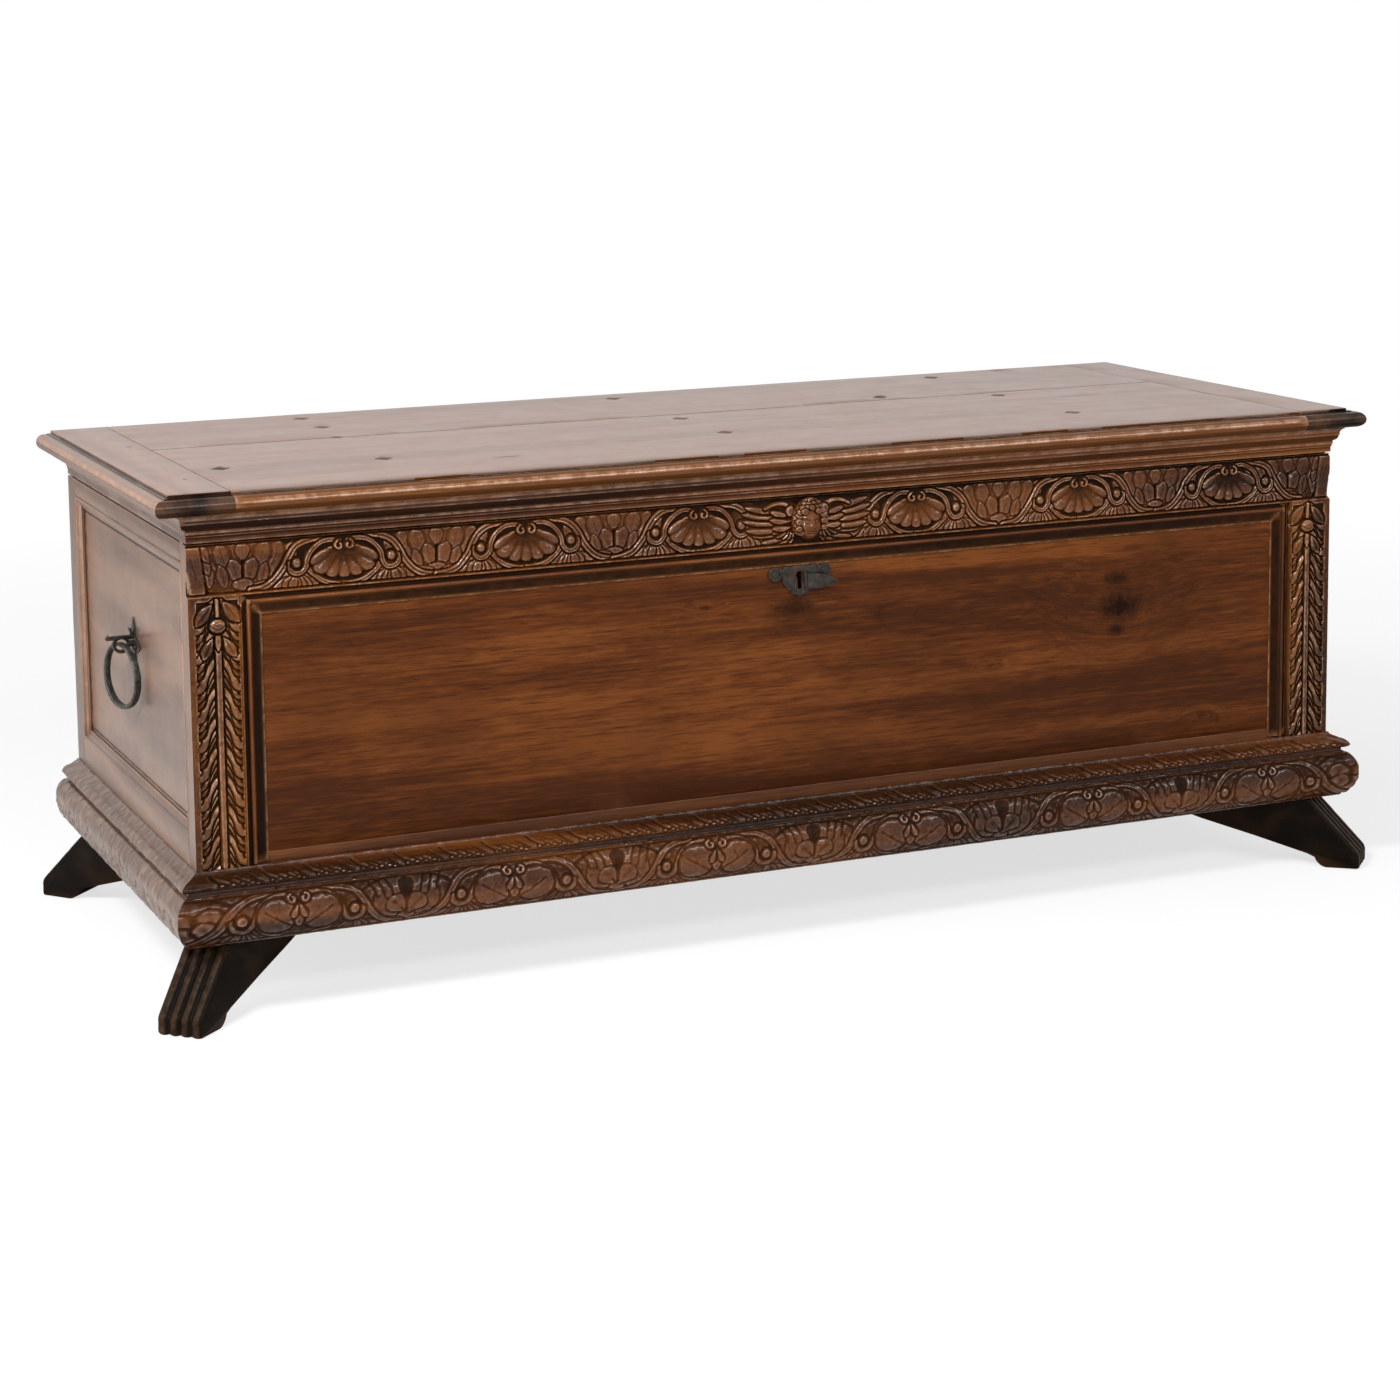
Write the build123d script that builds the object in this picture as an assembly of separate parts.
from build123d import *
import os

# Carved walnut chest (cassone) on four diagonal feet, in millimetres.
# +X runs along the chest, -Y is the carved front, +Z is up, and the floor is z = 0.
# "Depth" is the distance behind the case's front face; "overhang" is the distance outside a case face.

# ---- driving dimensions ------------------------------------------------------------------------
CASE_HALF = 837.0        # half the length of the case
CASE_DEPTH = 654.0
FRONT = -316.0           # y of the case's front face, which centres the whole chest on y = 0

FOOT_TOP = 101.5         # underside of the plinth
PLINTH_TOP = 168.0       # underside of the base moulding, the walls and the floor boards
BASE_TOP = 194.0         # top of the base moulding
FRIEZE_BOTTOM = 536.0
CASE_TOP = 602.0         # outer top edge of the walls
CORNICE_BOTTOM = 604.5
LID_UNDER = 640.5
LID_TOP = 666.5

FRONT_THICK = 30.0       # frieze rail, pilasters and front bottom rail
END_THICK = 28.0
BACK_THICK = 24.0
FLOOR_THICK = 20.0
LIP_SETBACK = 14.0       # inner lip of the walls, which the cornice laps over
LIP_GAP = 2.0

# front
OPENING_HALF = 770.0     # half the width between the pilasters
FIELD_DEPTH = 11.0       # how far the field of the front panel lies behind the case front
PANEL_THICK = 16.0
MOULDING_WIDTH = 28.0
STRIP_TOP = 206.0        # top edge of the front bottom rail

# ends
END_STILE = 42.0         # width of the back stile
END_MOULDING = 19.0
END_RAIL_BOTTOM = 230.0  # top edge of the bottom rail
END_RAIL_TOP = 579.0     # bottom edge of the top rail
END_FIELD = 10.0         # how far the end panel lies inside the end face
END_PANEL_THICK = 14.0
TONGUE = 8.0             # what each panel enters its grooves

# lid
LID_SIDE = 43.0          # overhang of the lid's edge at the ends
LID_FRONT = 26.0         # and at the front
LID_BACK = 653.0
CLAMP_INNER = 780.0      # joint between the long boards and the clamped ends
BOARD_JOINT = 392.0      # depth of the joint between the two long boards
BATTEN_X = (-515.0, -28.0, 500.0)
BATTEN_WIDTH = 60.0
BATTEN_THICK = 18.0
PLUG_SIZE = 19.0
PLUG_DEPTH = 4.0
PLUGS = [(-528.0, 170.0), (-510.0, 502.0), (-510.0, 604.0), (-32.0, 185.0), (-28.0, 348.0), (-28.0, 600.0),
         (492.0, 140.0), (495.0, 360.0), (513.0, 606.0), (-742.0, 184.0), (330.0, 424.0)]

# feet
FOOT_HALF = 31.0         # half the thickness of the diagonal board
TOE_X = 874.0
TOE_FRONT = -38.0        # depth of the toes' end face
TOE_BACK = 670.0
REED_GROOVE = 4.5        # radius of the grooves between the reeds

# hinges
HINGE_X = 600.0
HINGE_DEPTH = 659.3
HINGE_Z = 641.0
KNUCKLE_R = 5.0
HINGE_PIN_R = 2.5
HINGE_HALF = 21.0
NECK_HALF = 7.3
RUNNING = 0.06           # radial clearance of a turning pin

# lock
LOCK_X = -4.5
KEYHOLE_TOP = 500.0
KEYHOLE_BOTTOM = 476.0
PLATE_THICK = 2.5
COVER_X = 3.0            # axis of the keyhole cover
COVER_OPEN = 20.0        # how far the open cover stands out from the plate, in degrees
COVER_LENGTH = 44.0
COVER_PIN_R = 1.0
BOLT_Z = 591.5

# ring handles
HANDLE_DEPTH = 327.0
EYE_Z = 420.0
EYE_OUT = 18.5           # the eye's centre, out from the end panel
EYE_R = 7.5              # radius of the eye's hole
RING_R = 42.0
RING_THICK = 3.2         # half the thickness of the ring's band
RING_BROAD = 4.2         # half its breadth
RING_SKEW = 15.0         # how far the ring is turned about the vertical, in degrees

END_X = CASE_HALF - END_FIELD
parts = {}


# ---- helpers -----------------------------------------------------------------------------------
def slab(x0, x1, d0, d1, z0, z1):
    """Box between two x, two depths and two heights."""
    return Pos((x0 + x1) / 2, FRONT + (d0 + d1) / 2, (z0 + z1) / 2) * Box(x1 - x0, d1 - d0, z1 - z0)


def rod(x, depth, z, radius, length, axis):
    """Cylinder centred on a point, along X, Y or Z."""
    turn = {"X": Rot(0, 90, 0), "Y": Rot(90, 0, 0), "Z": Rot(0, 0, 0)}[axis]
    return Pos(x, FRONT + depth, z) * turn * Cylinder(radius, length)


def closed(*curves):
    """Face inside a run of curves and polylines."""
    edges = [edge for curve in curves for edge in curve.edges()]
    return make_face(edges)


def front_run(face, half):
    """Extrude an (overhang, height) face along the front of the case."""
    plane = Plane(origin=(0, FRONT, 0), x_dir=(0, -1, 0), z_dir=(-1, 0, 0))
    return extrude(plane * face, amount=half, both=True)


def right_run(face, d0, d1):
    """Extrude an (overhang, height) face along the right end of the case."""
    plane = Plane(origin=(CASE_HALF, FRONT + d1, 0), x_dir=(1, 0, 0), z_dir=(0, -1, 0))
    return extrude(plane * face, amount=d1 - d0)


def plan(points, z0, z1):
    """Prism over a plan given as (x, depth) points."""
    ring = [(x, FRONT + depth) for x, depth in points]
    return extrude(Pos(0, 0, z0) * make_face(Polyline(*ring, ring[0])), amount=z1 - z0, dir=(0, 0, 1))


def mirror_x(solid):
    return mirror(solid, about=Plane.YZ)


def moulded_set(name, face, outer, inner):
    """Front, left and right lengths of one moulding, mitred at the two front corners."""
    box = face.bounding_box()
    z0, z1 = box.min.Y - 1, box.max.Y + 1
    wide, narrow = CASE_HALF + outer, CASE_HALF - inner
    front_plan = plan([(-wide, -outer), (wide, -outer), (narrow, inner), (-narrow, inner)], z0, z1)
    side_plan = plan([(wide, -outer), (wide, LID_BACK), (narrow, LID_BACK), (narrow, inner)], z0, z1)
    parts[f"{name}_front"] = front_run(face, wide + 5) & front_plan
    parts[f"{name}_right"] = right_run(face, -outer - 5, LID_BACK) & side_plan
    parts[f"{name}_left"] = mirror_x(parts[f"{name}_right"])


# ---- base --------------------------------------------------------------------------------------
def make_feet():
    """Diagonal bracket feet: a thick board with a sloping reeded end, a toe and a hollowed underside."""
    outline = closed(
        Polyline((-72, FOOT_TOP), (0, 26), (3, 19), (3, 4)),
        ThreePointArc((3, 4), (1.8, 1.2), (-1, 0)),
        Line((-1, 0), (-44, 0)),
        ThreePointArc((-44, 0), (-55, 5), (-61, 14)),
        Polyline((-61, 14), (-76, 18.5), (-200, 40), (-320, 49), (-320, FOOT_TOP), (-72, FOOT_TOP)))
    board = extrude(Plane.XZ * outline, amount=FOOT_HALF, both=True)
    slope = Vector(72, 0, 26 - FOOT_TOP)
    for across in (-15.5, 0.0, 15.5):
        middle = Plane(origin=(-36, across, (FOOT_TOP + 26) / 2), z_dir=slope)
        board -= middle * Cylinder(REED_GROOVE, 140)
        board -= Pos(4.5, across, 10) * Cylinder(REED_GROOVE, 60)
    turned = Rot(0, 0, -45) * board
    front = Pos(TOE_X, FRONT + TOE_FRONT, 0) * turned
    back = Pos(TOE_X, FRONT + TOE_BACK, 0) * mirror(turned, about=Plane.XZ)
    parts["foot_front_right"] = front
    parts["foot_front_left"] = mirror_x(front)
    parts["foot_back_right"] = back
    parts["foot_back_left"] = mirror_x(back)


PLINTH_IN = 45.0         # how far the plinth frame reaches in under the case


def make_plinth():
    """Swelling plinth moulding on three sides, a plain board behind, and blocks in its corners."""
    face = closed(
        Line((-PLINTH_IN, FOOT_TOP), (15, FOOT_TOP)),
        ThreePointArc((15, FOOT_TOP), (30, 118), (34.5, 141)),
        ThreePointArc((34.5, 141), (31.4, 156), (22, 166)),
        Polyline((22, 166), (18, 166), (18, PLINTH_TOP), (-PLINTH_IN, PLINTH_TOP), (-PLINTH_IN, FOOT_TOP)))
    moulded_set("plinth", face, 60, PLINTH_IN + 5)
    inner = CASE_HALF - PLINTH_IN
    parts["plinth_back"] = slab(-inner, inner, LID_BACK - PLINTH_IN, LID_BACK, FOOT_TOP, PLINTH_TOP)
    leg = 120.0
    triangle = Polyline((0, 0), (-leg, 0), (0, leg), (0, 0))
    block = extrude(make_face(triangle), amount=PLINTH_TOP - FOOT_TOP)
    front = Pos(inner, FRONT + PLINTH_IN, FOOT_TOP) * block
    back = Pos(inner, FRONT + LID_BACK - PLINTH_IN, FOOT_TOP) * mirror(block, about=Plane.XZ)
    parts["corner_blocks"] = Compound(children=[front, back, mirror_x(front), mirror_x(back)])


def make_base_moulding():
    """Small cyma moulding planted round the foot of the case, above the plinth."""
    face = closed(
        Polyline((0, PLINTH_TOP), (16, PLINTH_TOP), (16, 172), (20, 173), (25, 176.5), (25, 179)),
        ThreePointArc((25, 179), (20.5, 183.7), (14, 186.5)),
        ThreePointArc((14, 186.5), (8.5, 188.9), (3, 192)),
        Polyline((3, 192), (3, BASE_TOP), (0, BASE_TOP), (0, PLINTH_TOP)))
    moulded_set("base_moulding", face, 60, 5)


# ---- front -------------------------------------------------------------------------------------
def make_front():
    """Frieze rail, two pilasters, bottom rail, fielded panel and the moulding round it."""
    frieze = slab(-CASE_HALF, CASE_HALF, 0, FRONT_THICK, FRIEZE_BOTTOM, CASE_TOP)
    lip_half = CASE_HALF - LIP_SETBACK
    frieze += slab(-lip_half, lip_half, LIP_SETBACK, FRONT_THICK, CASE_TOP, LID_UNDER)
    frieze += Pos(LOCK_X + 7, FRONT + 3, 576) * Sphere(15)
    bottom = slab(-OPENING_HALF, OPENING_HALF, FIELD_DEPTH, FRONT_THICK, PLINTH_TOP, STRIP_TOP)
    panel_back = FIELD_DEPTH + PANEL_THICK
    panel = slab(-OPENING_HALF - TONGUE, OPENING_HALF + TONGUE, FIELD_DEPTH, panel_back,
                 STRIP_TOP, FRIEZE_BOTTOM + TONGUE)
    pilaster = slab(OPENING_HALF, CASE_HALF, 0, FRONT_THICK, PLINTH_TOP, FRIEZE_BOTTOM)
    for left_edge in (773.0, 806.0):
        pilaster -= slab(left_edge, left_edge + 22, -1, 2, BASE_TOP, FRIEZE_BOTTOM - 4)
    parts["front_panel"] = panel - slab(LOCK_X - 4.5, LOCK_X + 4.5, 0, FRONT_THICK,
                                        KEYHOLE_BOTTOM - 2, KEYHOLE_TOP + 2)
    parts["frieze_rail"] = frieze - panel
    parts["front_bottom_rail"] = bottom
    parts["pilaster_right"] = pilaster - panel
    parts["pilaster_left"] = mirror_x(parts["pilaster_right"])


def make_panel_moulding():
    """Groove, bead and cove round the front panel, mitred at its two upper corners."""
    def face():
        return closed(
            Polyline((0, FIELD_DEPTH), (0, 8), (6.5, 8), (7.5, 3.5)),
            ThreePointArc((7.5, 3.5), (9.7, 1.6), (12, 3.5)),
            Line((12, 3.5), (13, 5)),
            ThreePointArc((13, 5), (17, 8.6), (23, 9.5)),
            Polyline((23, 9.5), (MOULDING_WIDTH, 9.5), (MOULDING_WIDTH, FIELD_DEPTH), (0, FIELD_DEPTH)))
    above = Plane(origin=(0, FRONT, FRIEZE_BOTTOM), x_dir=(0, 0, -1), z_dir=(1, 0, 0))
    beside = Plane(origin=(OPENING_HALF, FRONT, BASE_TOP), x_dir=(-1, 0, 0), z_dir=(0, 0, -1))
    wide, low, cut = OPENING_HALF, FRIEZE_BOTTOM - MOULDING_WIDTH - 2, MOULDING_WIDTH + 2
    outer = Plane(origin=(0, FRONT + 20, 0), x_dir=(1, 0, 0), z_dir=(0, -1, 0))
    top_shape = Polyline((-wide, FRIEZE_BOTTOM), (wide, FRIEZE_BOTTOM), (wide - cut, low),
                         (-wide + cut, low), (-wide, FRIEZE_BOTTOM))
    side_shape = Polyline((wide, FRIEZE_BOTTOM), (wide, BASE_TOP), (wide - cut, BASE_TOP),
                          (wide - cut, low), (wide, FRIEZE_BOTTOM))
    top = extrude(above * face(), amount=wide, both=True)
    right = extrude(beside * face(), amount=-(FRIEZE_BOTTOM - BASE_TOP))
    parts["panel_moulding_top"] = top & extrude(outer * make_face(top_shape), amount=30, dir=(0, -1, 0))
    parts["panel_moulding_right"] = right & extrude(outer * make_face(side_shape), amount=30,
                                                     dir=(0, -1, 0))
    parts["panel_moulding_left"] = mirror_x(parts["panel_moulding_right"])


# ---- ends, back and floor ----------------------------------------------------------------------
def make_ends():
    """Framed and panelled ends; the pilaster's edge serves as each end's front stile."""
    inner = CASE_HALF - END_THICK
    lip = CASE_HALF - LIP_SETBACK
    stile_front = CASE_DEPTH - END_STILE
    panel = slab(END_X - END_PANEL_THICK, END_X, FRONT_THICK, stile_front + TONGUE,
                 END_RAIL_BOTTOM - TONGUE, END_RAIL_TOP + TONGUE)
    top = slab(inner, CASE_HALF, FRONT_THICK, stile_front, END_RAIL_TOP, CASE_TOP)
    top += slab(inner, lip, FRONT_THICK, stile_front, CASE_TOP, LID_UNDER)
    stile = slab(inner, CASE_HALF, stile_front, CASE_DEPTH, PLINTH_TOP, CASE_TOP)
    stile += slab(inner, lip, stile_front, CASE_DEPTH, CASE_TOP, LID_UNDER)
    bottom = slab(inner, CASE_HALF, FRONT_THICK, stile_front, PLINTH_TOP, END_RAIL_BOTTOM)
    pieces = {"end_top_rail": top - panel, "end_bottom_rail": bottom - panel,
              "end_back_stile": stile - panel,
              "end_panel": panel - rod(END_X, HANDLE_DEPTH, EYE_Z, 4.2, 60, "X"),
              "end_moulding": end_moulding(stile_front)}
    for name, solid in pieces.items():
        parts[f"{name}_right"] = solid
        parts[f"{name}_left"] = mirror_x(solid)


def frame_strip(length):
    """Bead and ogee lying along x, its outer edge on y = 0, mitred at both ends."""
    outline = closed(
        Polyline((0, 0), (0, 10), (1.5, 8.8), (2.5, 8.8)),
        ThreePointArc((2.5, 8.8), (4.5, 10.4), (6.5, 8.8)),
        ThreePointArc((6.5, 8.8), (9, 6.2), (12, 4.6)),
        Polyline((12, 4.6), (15.5, 3.4), (15.5, 1.5), (END_MOULDING, 1.2), (END_MOULDING, 0), (0, 0)))
    half, cut = length / 2, END_MOULDING + 2
    shape = Polyline((-half, 0), (half, 0), (half - cut, cut), (-half + cut, cut), (-half, 0))
    prism = extrude(make_face(shape), amount=20, dir=(0, 0, 1))
    return extrude(Plane.YZ * outline, amount=half, both=True) & prism


def end_moulding(stile_front):
    """Four mitred lengths of moulding, standing on the end panel inside its frame."""
    length, height = stile_front - FRONT_THICK, END_RAIL_TOP - END_RAIL_BOTTOM
    depth, level = (FRONT_THICK + stile_front) / 2, (END_RAIL_TOP + END_RAIL_BOTTOM) / 2
    sides = [(depth, END_RAIL_BOTTOM, (0, 1, 0), length), (depth, END_RAIL_TOP, (0, -1, 0), length),
             (FRONT_THICK, level, (0, 0, -1), height), (stile_front, level, (0, 0, 1), height)]
    strips = [Plane(origin=(END_X, FRONT + d, z), x_dir=along, z_dir=(1, 0, 0)) * frame_strip(size)
              for d, z, along, size in sides]
    return Compound(children=strips)


def make_back_and_floor():
    """Two back boards with notches for the hinge necks, and three floor boards."""
    inner = CASE_HALF - END_THICK
    d0 = CASE_DEPTH - BACK_THICK
    seam = 404.0
    upper = slab(-inner, inner, d0, CASE_DEPTH, seam, LID_UNDER)
    for x in (-HINGE_X, HINGE_X):
        upper -= slab(x - NECK_HALF - 0.7, x + NECK_HALF + 0.7, d0 - 1, CASE_DEPTH + 1, 637.1, LID_UNDER + 1)
    lower = slab(-inner, inner, d0, CASE_DEPTH, PLINTH_TOP, seam)
    parts["back_board_upper"] = upper
    parts["back_board_lower"] = lower
    edges = [FRONT_THICK, 222.0, 428.0, d0]
    boards = [slab(-inner, inner, a, b, PLINTH_TOP, PLINTH_TOP + FLOOR_THICK)
              for a, b in zip(edges, edges[1:])]
    parts["floor_boards"] = Compound(children=boards)


# ---- lid ---------------------------------------------------------------------------------------
def edge_profile(tip):
    """Points and arcs of the lid's moulded edge, from its underside to its top, with the tip outermost."""
    return [Line((tip - 8, LID_UNDER), (tip - 7, 641.2)),
            ThreePointArc((tip - 7, 641.2), (tip, 651.5), (tip - 11.5, 661.9)),
            Polyline((tip - 11.5, 661.9), (tip - 15.8, 661.9), (tip - 15.8, 662.9), (tip - 21, 662.9),
                     (tip - 21, LID_TOP))]


def make_lid():
    """Two long boards between clamped ends, moulded on three edges, with plugged nail holes."""
    side_tip = CASE_HALF + LID_SIDE
    across = closed(*edge_profile(LID_FRONT),
                    Polyline((LID_FRONT - 21, LID_TOP), (-LID_BACK, LID_TOP), (-LID_BACK, LID_UNDER),
                             (LID_FRONT - 8, LID_UNDER)))
    half = closed(*edge_profile(side_tip),
                  Polyline((side_tip - 21, LID_TOP), (0, LID_TOP), (0, LID_UNDER), (side_tip - 8, LID_UNDER)))
    right = extrude(Plane.XZ * half, amount=1000, both=True)
    whole = front_run(across, side_tip + 5) & (right + mirror_x(right))
    pegs = []
    for x, depth in PLUGS:
        peg = slab(-PLUG_SIZE / 2, PLUG_SIZE / 2, -PLUG_SIZE / 2 - FRONT, PLUG_SIZE / 2 - FRONT,
                   LID_TOP - PLUG_DEPTH, LID_TOP)
        pegs.append(Pos(x, FRONT + depth, 0) * Rot(0, 0, 45) * peg)
    for peg in pegs:
        whole -= peg
    far = 900.0
    parts["lid_front_board"] = whole & slab(-CLAMP_INNER, CLAMP_INNER, -100, BOARD_JOINT, 0, 800)
    parts["lid_back_board"] = whole & slab(-CLAMP_INNER, CLAMP_INNER, BOARD_JOINT, 700, 0, 800)
    parts["lid_clamp_right"] = whole & slab(CLAMP_INNER, far, -100, 700, 0, 800)
    parts["lid_clamp_left"] = whole & slab(-far, -CLAMP_INNER, -100, 700, 0, 800)
    parts["lid_plugs"] = Compound(children=pegs)
    battens = [slab(x - BATTEN_WIDTH / 2, x + BATTEN_WIDTH / 2, 70, 600, LID_UNDER - BATTEN_THICK, LID_UNDER)
               for x in BATTEN_X]
    parts["lid_battens"] = Compound(children=battens)


def make_cornice():
    """Cornice strips fixed under the lid, which lap over the lip of the case."""
    inner = LIP_GAP - LIP_SETBACK
    face = closed(
        Polyline((inner, CORNICE_BOTTOM), (0, CORNICE_BOTTOM), (0, 612), (1, 612), (1, 615)),
        ThreePointArc((1, 615), (2.3, 616.5), (1, 618)),
        Polyline((1, 618), (2.2, 618), (2.2, 621)),
        ThreePointArc((2.2, 621), (6.2, 623.6), (8, 629)),
        Polyline((8, 629), (9, 629), (9, 631.5)),
        ThreePointArc((9, 631.5), (10.3, 635.8), (13, 638.5)),
        Polyline((13, 638.5), (14, 638.5), (14, LID_UNDER), (inner, LID_UNDER), (inner, CORNICE_BOTTOM)))
    moulded_set("cornice", face, 30, 20)


# ---- ironwork ----------------------------------------------------------------------------------
def nail(x, depth, z, head, way, length=14.0):
    """Round-headed nail; way is the direction its head faces: -Y, +Y or -Z."""
    axis = "Z" if way == "-Z" else "Y"
    step = {"-Z": (0, 1), "-Y": (1, 0), "+Y": (-1, 0)}[way]
    shank = rod(x, depth + step[0] * length / 2, z + step[1] * length / 2, 1.5, length, axis)
    cap = rod(x, depth - step[0] * 0.9, z - step[1] * 0.9, head, 1.8, axis)
    return shank + cap


def make_hinges():
    """Strap hinges: case leaves on the back, lid leaves under the lid, pins and nails."""
    case_leaves, lid_leaves, pins, case_nails, lid_nails = [], [], [], [], []
    for x in (-HINGE_X, HINGE_X):
        leaf = slab(x - HINGE_HALF, x + HINGE_HALF, CASE_DEPTH, CASE_DEPTH + 3, 560, HINGE_Z)
        leaf += rod(x, HINGE_DEPTH, HINGE_Z, KNUCKLE_R, 2 * HINGE_HALF, "X")
        leaf -= rod(x, HINGE_DEPTH, HINGE_Z, KNUCKLE_R + 0.6, 2 * NECK_HALF + 0.8, "X")
        leaf -= slab(x - NECK_HALF - 0.4, x + NECK_HALF + 0.4, 650, 670, 634, 650)
        leaf -= rod(x, HINGE_DEPTH, HINGE_Z, HINGE_PIN_R, 60, "X")
        strap = slab(x - NECK_HALF, x + NECK_HALF, 626, HINGE_DEPTH, LID_UNDER - 3, LID_UNDER)
        strap += slab(x - 15, x + 15, 470, 626, LID_UNDER - 3, LID_UNDER)
        strap += rod(x, 470, LID_UNDER - 1.5, 15, 3, "Z")
        strap += rod(x, HINGE_DEPTH, HINGE_Z, KNUCKLE_R, 2 * NECK_HALF, "X")
        strap -= rod(x, HINGE_DEPTH, HINGE_Z, HINGE_PIN_R + RUNNING, 60, "X")
        for z, side in ((575, -12), (575, 12), (610, -12), (610, 12)):
            case_nails.append(nail(x + side, CASE_DEPTH + 3, z, 4.2, "+Y"))
            leaf -= rod(x + side, CASE_DEPTH, z, 1.5, 40, "Y")
        for depth in (470, 520, 570, 612):
            lid_nails.append(nail(x, depth, LID_UNDER - 3, 4.2, "-Z"))
            strap -= rod(x, depth, LID_UNDER, 1.5, 40, "Z")
        case_leaves.append(leaf)
        lid_leaves.append(strap)
        pins.append(rod(x, HINGE_DEPTH, HINGE_Z, HINGE_PIN_R, 2 * HINGE_HALF + 3, "X"))
    board = parts["back_board_upper"]
    for each in case_nails:
        board -= each
    parts["back_board_upper"] = board
    board = parts["lid_back_board"]
    for each in lid_nails:
        board -= each
    parts["lid_back_board"] = board
    parts["hinge_case_leaves"] = Compound(children=case_leaves)
    parts["hinge_lid_leaves"] = Compound(children=lid_leaves)
    parts["hinge_pins"] = Compound(children=pins)
    parts["hinge_case_nails"] = Compound(children=case_nails)
    parts["hinge_lid_nails"] = Compound(children=lid_nails)


def keyhole(d0, d1):
    """Keyhole cutter: a round eye above a slot."""
    hole = rod(LOCK_X, (d0 + d1) / 2, KEYHOLE_TOP - 5.2, 5.2, d1 - d0, "Y")
    return hole + slab(LOCK_X - 3.2, LOCK_X + 3.2, d0, d1, KEYHOLE_BOTTOM, KEYHOLE_TOP - 5)


def make_escutcheon():
    """Shield-shaped keyhole plate with a nailed lobe each side, and its hinged leaf-shaped cover."""
    front = FIELD_DEPTH - PLATE_THICK
    shield = Polyline((-25, 507), (25, 507), (25, 485), (12.5, 471), (0, 466.5), (-12.5, 471), (-25, 485),
                      (-25, 507))
    plate = extrude(Pos(LOCK_X, 0, 0) * make_face(shield), amount=PLATE_THICK)
    plate = Pos(0, FRONT + FIELD_DEPTH, 0) * Rot(90, 0, 0) * plate
    nails = []
    for side in (-36.5, 36.5):
        plate += rod(LOCK_X + side, FIELD_DEPTH - PLATE_THICK / 2, 498, 9.5, PLATE_THICK, "Y")
        plate += slab(min(LOCK_X, LOCK_X + side), max(LOCK_X, LOCK_X + side), front, FIELD_DEPTH, 492, 504)
        plate -= rod(LOCK_X + side, FIELD_DEPTH, 498, 1.5, 30, "Y")
        nails.append(nail(LOCK_X + side, front, 498, 4.6, "-Y"))
    plate -= keyhole(front - 1, FIELD_DEPTH + 1)
    axis_depth = front - 2.4
    for z in (474.5, 497.5):
        lug = rod(COVER_X, axis_depth, z, 2.2, 3, "Z") + slab(COVER_X - 1.5, COVER_X + 1.5, axis_depth, front,
                                                              z - 1.5, z + 1.5)
        plate += lug - rod(COVER_X, axis_depth, z, COVER_PIN_R, 10, "Z")
    parts["escutcheon"] = plate
    for each in nails:
        parts["front_panel"] -= each
    parts["escutcheon_nails"] = Compound(children=nails)
    parts["cover_pin"] = rod(COVER_X, axis_depth, 486, COVER_PIN_R, 26, "Z")
    leaf = closed(Line((0, -9.3), (0, 9.3)),
                  ThreePointArc((0, 9.3), (COVER_LENGTH * 0.6, 8), (COVER_LENGTH, 0)),
                  ThreePointArc((COVER_LENGTH, 0), (COVER_LENGTH * 0.6, -8), (0, -9.3)))
    flap = Rot(90, 0, 0) * extrude(leaf, amount=0.9, both=True)
    flap += Cylinder(2.2, 19.4)
    flap -= Cylinder(COVER_PIN_R + RUNNING, 40)
    parts["keyhole_cover"] = Pos(COVER_X, FRONT + axis_depth, 486) * Rot(0, 0, -COVER_OPEN) * flap


def make_lock():
    """Iron lock box behind the frieze, its sliding bolt, and the staple that hangs from the lid."""
    left, right = LOCK_X - 70, LOCK_X + 60
    box = slab(left, right, FRONT_THICK, 60, 468, 600)
    box -= slab(left + 2, right - 2, FRONT_THICK + 2, 58, 470, 598)
    box -= slab(LOCK_X - 5, LOCK_X + 5, 33, 55, 590, 610)
    box -= keyhole(FRONT_THICK - 1, FRONT_THICK + 3)
    for x in (LOCK_X - 58, LOCK_X - 17):
        guide = slab(x - 3, x + 3, FRONT_THICK + 2, 58, BOLT_Z - 9, BOLT_Z + 6.5)
        box += guide - slab(x - 4, x + 4, 40, 48, BOLT_Z - 4, BOLT_Z + 4)
    parts["lock_case"] = box
    bolt = slab(LOCK_X - 66, LOCK_X - 8, 41, 47, BOLT_Z - 3.5, BOLT_Z + 3.5)
    bolt += slab(LOCK_X - 44, LOCK_X - 38, 42, 46, 560, BOLT_Z)
    parts["lock_bolt"] = bolt
    staple = slab(LOCK_X - 3, LOCK_X + 3, 37, 51, 582, LID_UNDER)
    staple -= slab(LOCK_X - 4, LOCK_X + 4, 39.8, 48.2, BOLT_Z - 4.6, BOLT_Z + 4.6)
    staple += slab(LOCK_X - 20, LOCK_X + 20, 33, 59, LID_UNDER - 3, LID_UNDER)
    parts["lid_staple"] = staple


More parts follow.
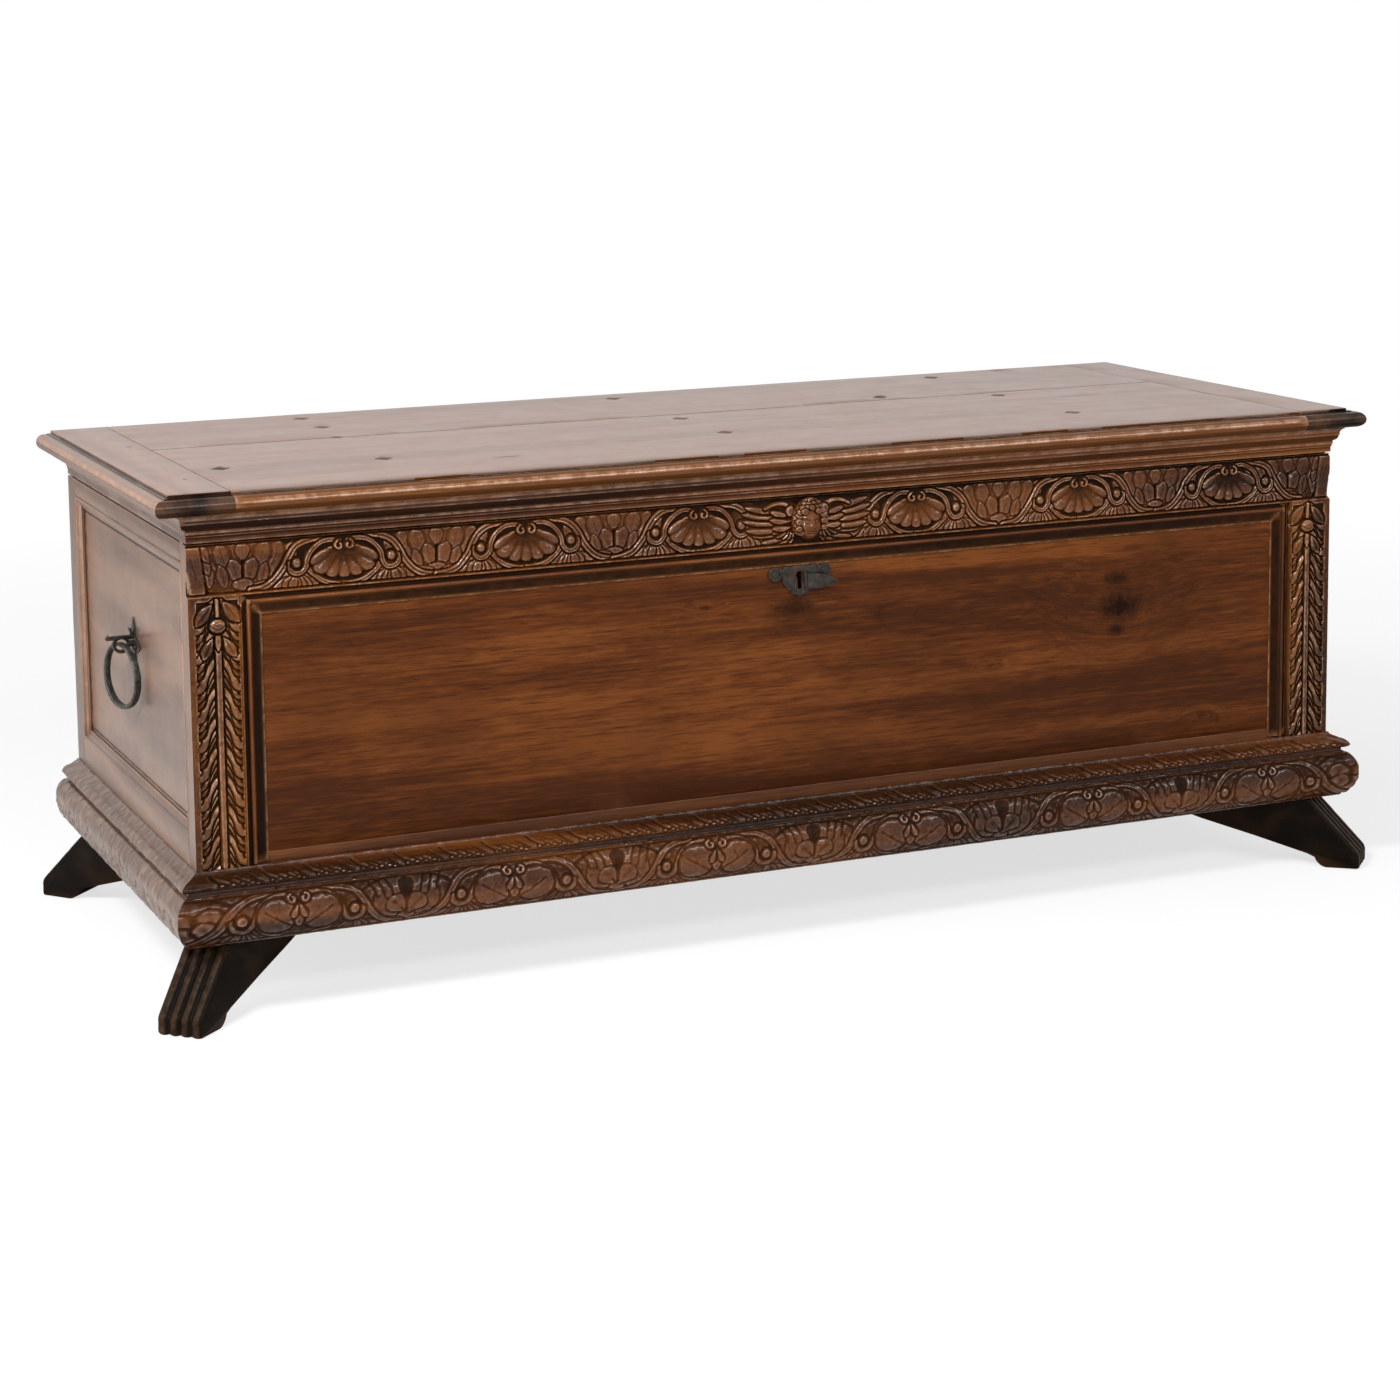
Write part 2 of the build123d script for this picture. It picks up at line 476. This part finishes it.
def make_handles():
    """Forged ring in the eye of a staple that is clenched through the end panel, over a leafed rosette."""
    eye_x = END_X + EYE_OUT
    shank = rod(END_X, HANDLE_DEPTH, EYE_Z, 4.2, 2 * EYE_OUT, "X")
    bar = slab(END_X, END_X + 38, HANDLE_DEPTH - 3.5, HANDLE_DEPTH + 3.5, EYE_Z + 7, EYE_Z + 11.5)
    staple = shank + bar + rod(eye_x, HANDLE_DEPTH, EYE_Z, EYE_R + 4, 6, "Y")
    staple -= rod(eye_x, HANDLE_DEPTH, EYE_Z, EYE_R, 20, "Y")
    back = END_X - END_PANEL_THICK
    clench = slab(back - 3, back, HANDLE_DEPTH - 5, HANDLE_DEPTH + 5, EYE_Z - 22, EYE_Z + 22)
    staple += clench
    rosette = rod(END_X + 1, HANDLE_DEPTH, EYE_Z, 14, 2, "X")
    arm = Polyline((-7, 8), (-8.5, 20), (0, 36), (8.5, 20), (7, 8), (-7, 8))
    flat = Plane(origin=(END_X, FRONT + HANDLE_DEPTH, EYE_Z), x_dir=(0, 1, 0), z_dir=(1, 0, 0))
    for turn in range(4):
        rosette += extrude(flat * Rot(0, 0, 90 * turn) * make_face(arm), amount=2)
    rosette -= staple
    band = Plane.XZ * Pos(0, RING_R) * Ellipse(RING_BROAD, RING_THICK)
    ring = Pos(0, 0, -RING_R) * revolve(band, Axis.X)
    ring = Pos(eye_x, FRONT + HANDLE_DEPTH, EYE_Z) * Rot(0, 0, -RING_SKEW) * ring
    for name, solid in {"handle_staple": staple, "handle_plate": rosette, "handle_ring": ring}.items():
        parts[f"{name}_right"] = solid
        parts[f"{name}_left"] = mirror_x(solid)
    for side in ("left", "right"):
        parts[f"end_panel_{side}"] -= parts[f"handle_staple_{side}"]


def main():
    make_feet()
    make_plinth()
    make_base_moulding()
    make_front()
    make_panel_moulding()
    make_ends()
    make_back_and_floor()
    make_lid()
    make_cornice()
    make_hinges()
    make_escutcheon()
    make_lock()
    make_handles()
    os.makedirs("parts", exist_ok=True)
    for name, solid in parts.items():
        export_step(solid, f"parts/{name}.step")
    print(len(parts), "nodes")


main()
